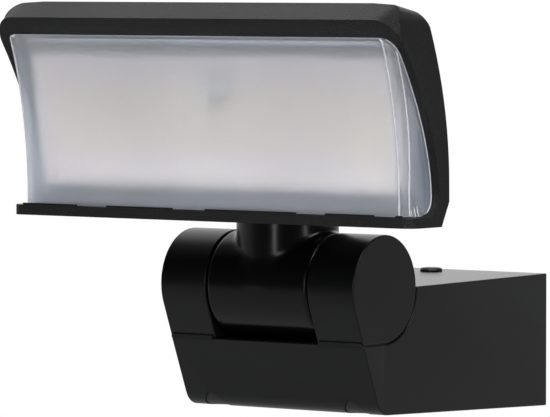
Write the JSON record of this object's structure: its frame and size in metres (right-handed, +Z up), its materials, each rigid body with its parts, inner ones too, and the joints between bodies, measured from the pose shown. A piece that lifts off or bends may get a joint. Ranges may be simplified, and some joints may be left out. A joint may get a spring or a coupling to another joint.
{
  "type": "wall floodlight",
  "caption": "Wall-mounted floodlight with a wide frosted lamp head that swivels on a neck and tilts on a drum held between two cheeks of a base box.",
  "frame": {"origin": "centre of the base's face against the wall", "axes": "+Z up, +Y into the wall, -Y the way the light looks, +X to the right seen from the front"},
  "size_m": [0.197, 0.1812, 0.1664],
  "materials": {
    "base_black": "smooth satin black",
    "arm_black": "satin black powder coat",
    "head_black": "fine sand-textured black",
    "black_plastic": "moulded black",
    "rubber": "matt rubber",
    "steel": "zinc-plated",
    "white_plastic": "natural polyamide",
    "wire": "insulation",
    "circuit_board": "solder mask",
    "winding": "winding tape",
    "capacitor": "sleeved aluminium",
    "anodised_sheet": "black anodised sheet",
    "white_board": "white solder mask",
    "phosphor": "yellow phosphor",
    "reflector_white": "white reflector",
    "frosted_lens": "frosted polycarbonate"
  },
  "bodies": {
    "base": {"wall_plate": "black_plastic", "wall_seal": "rubber", "cable_grommet": "rubber", "plate_screws": "steel", "base_housing": "base_black", "top_cap": "black_plastic", "terminal_block": "white_plastic", "terminal_screws": "steel", "supply_wires": "wire", "driver_board": "circuit_board", "driver_transformer": "winding", "driver_capacitors": "capacitor", "driver_screws": "steel", "lead_base_run": "rubber", "left_cheek": "base_black", "right_cheek": "base_black", "clamp_screws": "steel", "screw_plugs": "black_plastic", "tilt_bushes": "white_plastic", "trunnion_seals": "rubber", "friction_washers": "steel"},
    "arm": {"swivel_arm": "arm_black", "lead_arm_run": "rubber", "swivel_clip": "steel"},
    "head": {"head_hub": "head_black", "neck_seal": "rubber", "swivel_washer": "steel", "hub_screws": "steel", "hub_seal": "rubber", "head_housing": "head_black", "heat_spreader": "anodised_sheet", "led_board": "white_board", "led_emitters": "phosphor", "led_connector": "white_plastic", "board_screws": "steel", "reflector_tray": "reflector_white", "lens_seal": "rubber", "diffuser": "frosted_lens", "lead_head_run": "rubber"}
  },
  "joints": [
    {"name": "tilt", "type": "hinge", "parent": "base", "child": "arm", "pos_m": [0, -0.115, 0.0265], "axis": [1, 0, 0], "range_deg": [-8, 90]},
    {"name": "swivel", "type": "hinge", "parent": "arm", "child": "head", "pos_m": [0, -0.115, 0.0265], "axis": [0, 0, 1], "range_deg": [-90, 90]}
  ]
}
